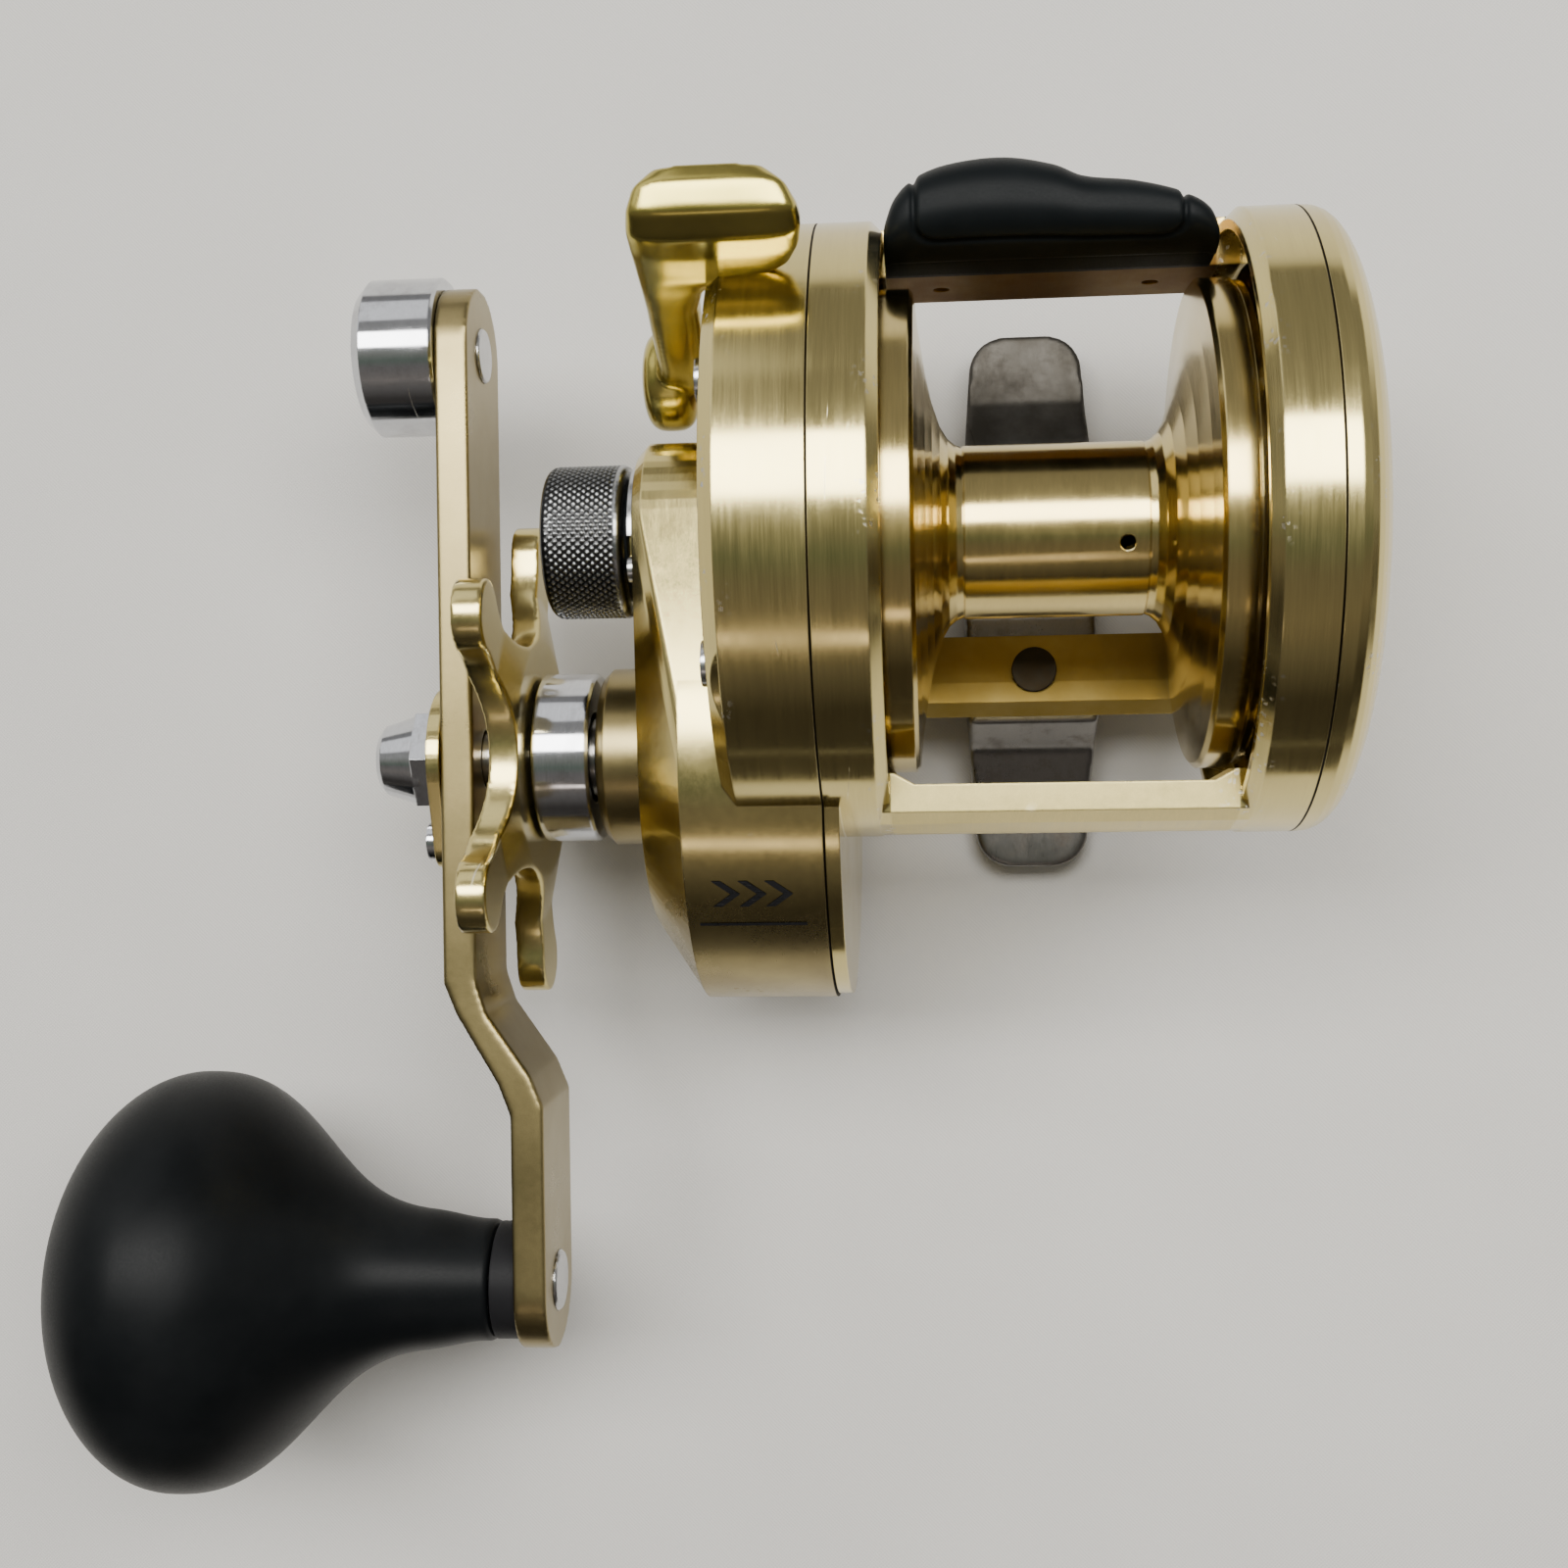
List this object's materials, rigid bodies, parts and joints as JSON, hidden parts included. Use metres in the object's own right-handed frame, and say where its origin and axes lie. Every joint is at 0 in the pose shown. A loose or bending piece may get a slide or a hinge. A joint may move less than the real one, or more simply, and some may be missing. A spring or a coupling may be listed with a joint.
{
  "type": "baitcasting reel",
  "caption": "Round baitcasting fishing reel with a cranked power handle, round knob, counterweight, star drag, thumb clutch lever, thumb rest and open spool.",
  "frame": {"origin": "centre of the flat underside of the reel foot", "axes": "+Z away from the rod, through the foot towards the spool; +Y along the rod towards the butt and the angler; -X towards the handle, parallel to the spool axis"},
  "size_m": [0.1309, 0.1277, 0.0647],
  "materials": {
    "gold_frame": "gold anodised, machined, satin with bright edges",
    "gold_plate": "gold anodised, polished with handling scratches and nicks",
    "gold_satin": "gold anodised, bead blasted satin",
    "gold_spool": "gold anodised, turned with fine circular grain",
    "gold_lever": "olive gold, glossy with worn corners",
    "foot_metal": "grey metal, scuffed at the rear end, polished at the front",
    "rivet_dark": "dark pressed rivet",
    "steel_bright": "bright steel",
    "bearing_steel": "ground steel",
    "chrome": "polished chrome",
    "knurled_chrome": "diamond knurled chrome",
    "brass": "machined brass",
    "drag_fibre": "dark fibre friction washers",
    "rubber_black": "matte black rubber",
    "plastic_black": "matte black plastic",
    "knob_black": "matte black coated knob with small chips",
    "brake_plastic": "off-white plastic",
    "brake_red": "red plastic"
  },
  "bodies": {
    "frame": {"frame": "gold_frame", "reel_foot": "foot_metal", "foot_rivets": "rivet_dark", "gear_side_cover": "gold_plate", "cover_screws": "steel_bright", "palm_cover": "gold_plate", "palm_cover_screws": "steel_bright", "thumb_rest": "rubber_black", "thumb_rest_pad": "rubber_black", "thumb_rest_screws": "steel_bright", "bearing_collar": "gold_satin", "collar_screws": "steel_bright", "anti_reverse_bearing": "bearing_steel", "shaft_inner_bearing": "bearing_steel", "shaft_outer_bearing": "bearing_steel", "cast_click_ring": "steel_bright", "cast_click_pin": "steel_bright", "spool_bearing_left": "bearing_steel", "spool_bearing_right": "bearing_steel", "pinion_bush": "brass", "tension_shim_right": "brass", "brake_drum": "bearing_steel", "yoke_posts": "bearing_steel", "yoke_springs": "bearing_steel", "lever_bushing": "brass"},
    "handle": {"drive_shaft": "bearing_steel", "drive_gear": "brass", "drag_washers": "drag_fibre", "pressure_plate": "bearing_steel", "ratchet_wheel": "bearing_steel", "roller_sleeve": "bearing_steel", "drag_sleeve": "chrome", "drag_springs": "bearing_steel", "handle_arm": "gold_satin", "handle_nut": "chrome", "nut_retainer": "gold_plate", "retainer_screw": "chrome", "counterweight": "chrome", "weight_rivet": "steel_bright", "knob_shaft": "steel_bright", "knob_collar": "plastic_black"},
    "star": {"star_drag": "gold_plate", "drag_nut": "brass"},
    "knob": {"handle_knob": "knob_black", "knob_bearings": "bearing_steel"},
    "cast_control": {"cast_knob": "knurled_chrome", "cast_oring": "rubber_black", "tension_shim_left": "brass"},
    "lever": {"clutch_lever": "gold_lever", "lever_shaft": "bearing_steel", "clutch_cam": "bearing_steel"},
    "yoke": {"clutch_yoke": "bearing_steel"},
    "pinion": {"pinion_gear": "brass"},
    "spool": {"spool": "gold_spool", "spool_shaft": "bearing_steel", "clutch_pin": "bearing_steel", "brake_hub": "brake_plastic", "brake_blocks": "brake_red"}
  },
  "joints": [
    {"name": "handle_spin", "type": "hinge", "parent": "frame", "child": "handle", "pos_m": [0, -0.0169, 0.02329], "axis": [1, 0, 0], "continuous": true},
    {"name": "spool_spin", "type": "hinge", "parent": "frame", "child": "spool", "pos_m": [0, 0.0035, 0.034], "axis": [1, 0, 0], "continuous": true},
    {"name": "star_turn", "type": "hinge", "parent": "handle", "child": "star", "pos_m": [0, -0.0169, 0.02329], "axis": [1, 0, 0], "range_deg": [-180, 360]},
    {"name": "knob_spin", "type": "hinge", "parent": "handle", "child": "knob", "pos_m": [0, -0.0701, 0.02329], "axis": [1, 0, 0], "continuous": true},
    {"name": "cast_turn", "type": "hinge", "parent": "frame", "child": "cast_control", "pos_m": [0, 0.0035, 0.034], "axis": [1, 0, 0], "range_deg": [-180, 360]},
    {"name": "lever_press", "type": "hinge", "parent": "frame", "child": "lever", "pos_m": [0, 0.0193, 0.0315], "axis": [-1, 0, 0], "range_deg": [0, 22]},
    {"name": "yoke_slide", "type": "slide", "parent": "frame", "child": "yoke", "axis": [-1, 0, 0], "range_m": [0, 0.0014], "deforming": ["yoke_springs"]},
    {"name": "pinion_spin", "type": "hinge", "parent": "yoke", "child": "pinion", "pos_m": [0, 0.0035, 0.034], "axis": [1, 0, 0], "continuous": true}
  ],
  "couplings": [
    {"joint": "spool_spin", "follows": "handle_spin", "ratio": -6.2},
    {"joint": "pinion_spin", "follows": "handle_spin", "ratio": -6.2},
    {"joint": "yoke_slide", "follows": "lever_press", "m_per_rad": 0.0036457}
  ]
}
